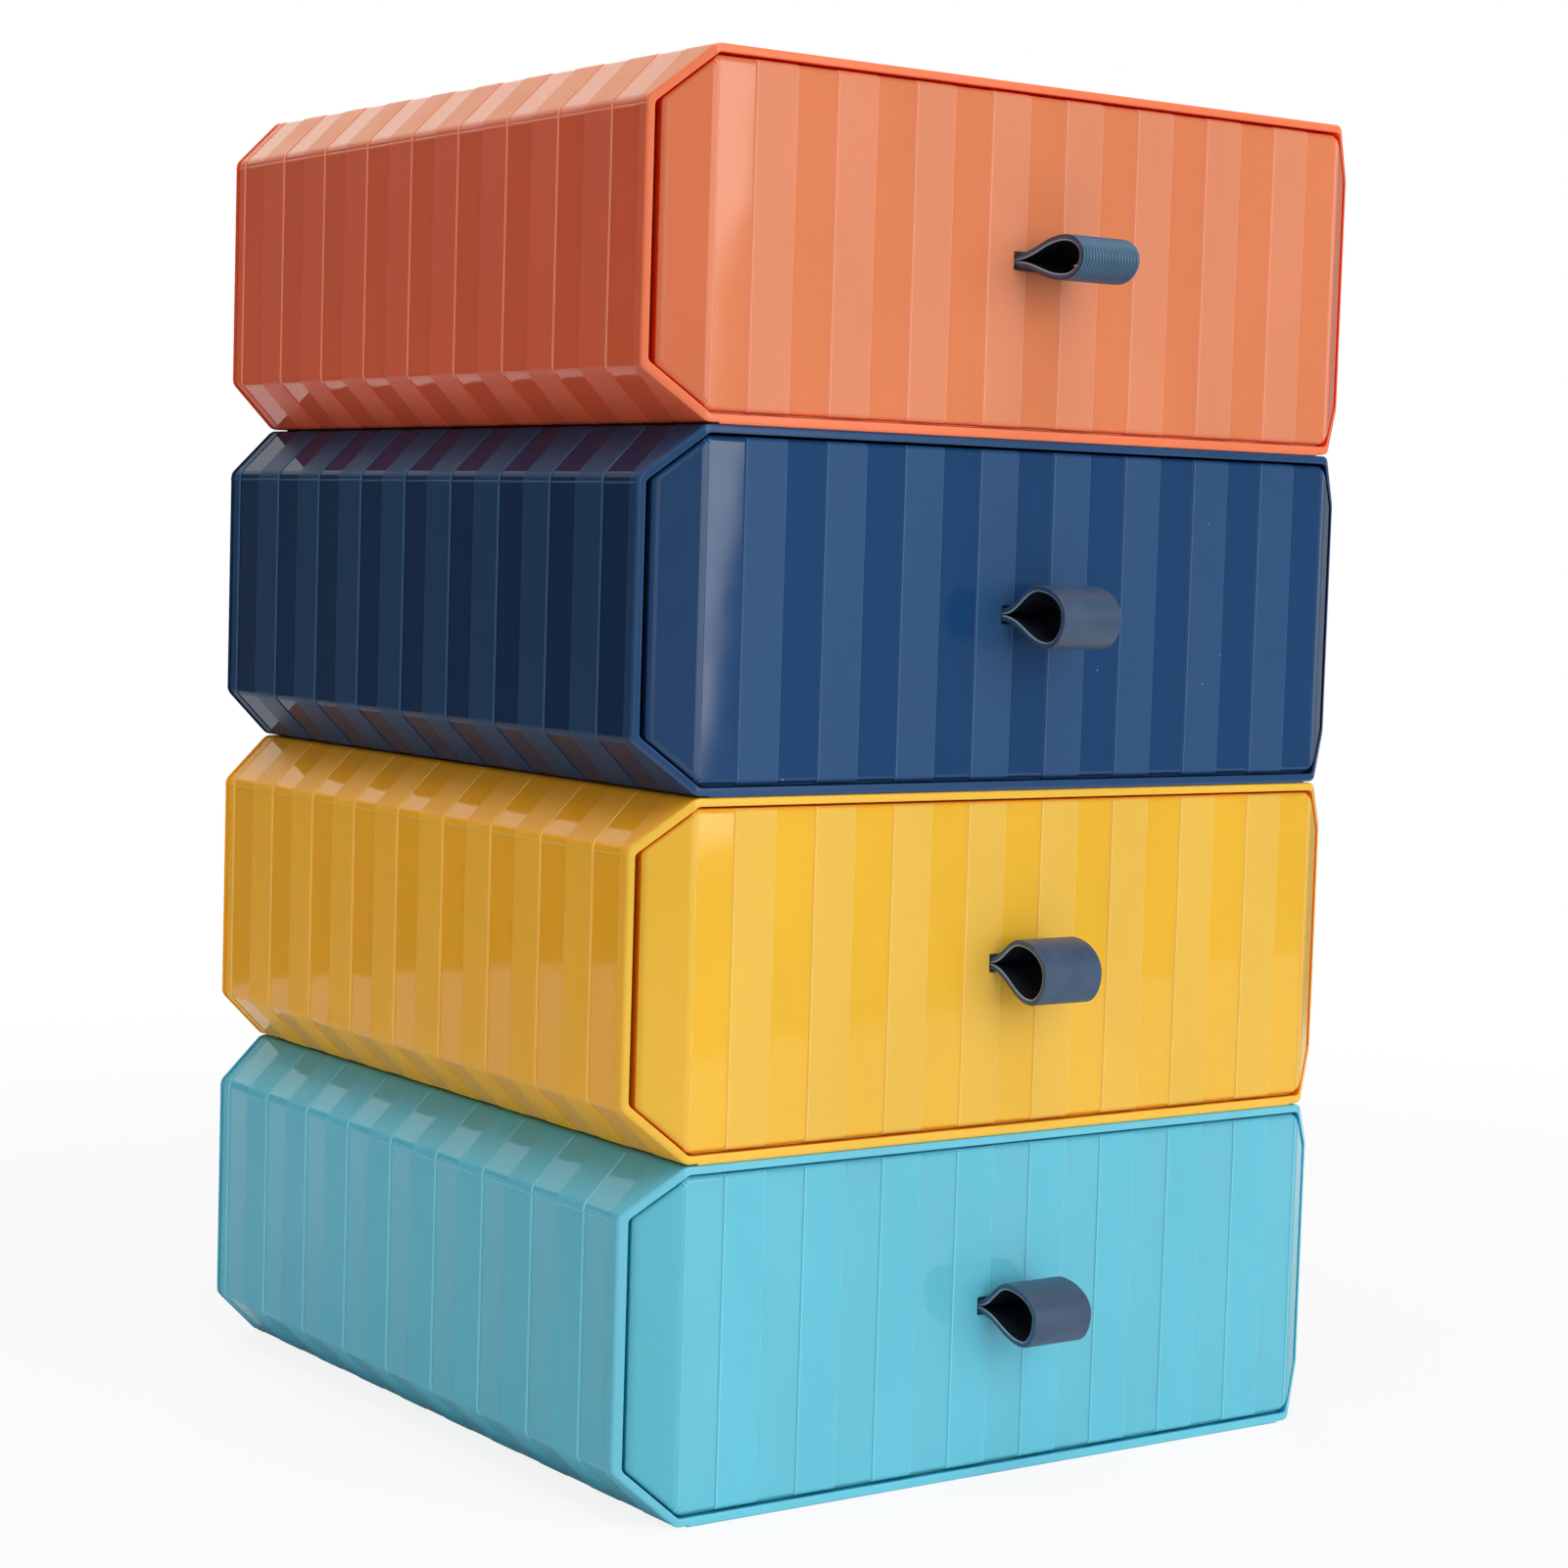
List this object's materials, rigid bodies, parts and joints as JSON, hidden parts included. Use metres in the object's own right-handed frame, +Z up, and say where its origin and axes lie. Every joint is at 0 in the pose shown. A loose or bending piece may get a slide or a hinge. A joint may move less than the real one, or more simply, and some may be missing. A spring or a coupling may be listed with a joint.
{
  "type": "drawer organizer",
  "caption": "Stack of desktop mini drawers in four colours: chamfered banded casings, striped drawer fronts with bent-back ends, and a rubber loop pull on each.",
  "frame": {"origin": "centre of the bottom casing's footprint, on the surface that the stack stands on", "axes": "+X to the right along the drawer fronts, +Y from the fronts to the back, so the drawers open towards -Y, +Z up"},
  "size_m": [0.18, 0.2002, 0.28],
  "materials": {
    "teal_plastic": "moulded plastic, sunk strips glossy, raised strips and edges satin",
    "yellow_plastic": "moulded plastic, sunk strips glossy, raised strips and edges satin",
    "blue_plastic": "moulded plastic, sunk strips glossy, raised strips and edges satin",
    "orange_plastic": "moulded plastic, sunk strips glossy, raised strips and edges satin",
    "pull_rubber": "satin moulded rubber"
  },
  "bodies": {
    "teal_module": {"teal_casing": "teal_plastic"},
    "teal_drawer": {"teal_drawer": "teal_plastic", "teal_pull": "pull_rubber"},
    "yellow_module": {"yellow_casing": "yellow_plastic"},
    "yellow_drawer": {"yellow_drawer": "yellow_plastic", "yellow_pull": "pull_rubber"},
    "blue_module": {"blue_casing": "blue_plastic"},
    "blue_drawer": {"blue_drawer": "blue_plastic", "blue_pull": "pull_rubber"},
    "orange_module": {"orange_casing": "orange_plastic"},
    "orange_drawer": {"orange_drawer": "orange_plastic", "orange_pull": "pull_rubber"}
  },
  "joints": [
    {"name": "teal_drawer_slide", "type": "slide", "parent": "teal_module", "child": "teal_drawer", "axis": [0, -1, 0], "range_m": [0, 0.135]},
    {"name": "yellow_drawer_slide", "type": "slide", "parent": "yellow_module", "child": "yellow_drawer", "axis": [0, -1, 0], "range_m": [0, 0.135]},
    {"name": "blue_drawer_slide", "type": "slide", "parent": "blue_module", "child": "blue_drawer", "axis": [0, -1, 0], "range_m": [0, 0.135]},
    {"name": "orange_drawer_slide", "type": "slide", "parent": "orange_module", "child": "orange_drawer", "axis": [0, -1, 0], "range_m": [0, 0.135]},
    {"name": "yellow_module_lift", "type": "slide", "parent": "teal_module", "child": "yellow_module", "axis": [0, 0, 1], "range_m": [0, 0.1]},
    {"name": "blue_module_lift", "type": "slide", "parent": "yellow_module", "child": "blue_module", "axis": [0, 0, 1], "range_m": [0, 0.1]},
    {"name": "orange_module_lift", "type": "slide", "parent": "blue_module", "child": "orange_module", "axis": [0, 0, 1], "range_m": [0, 0.1]}
  ]
}
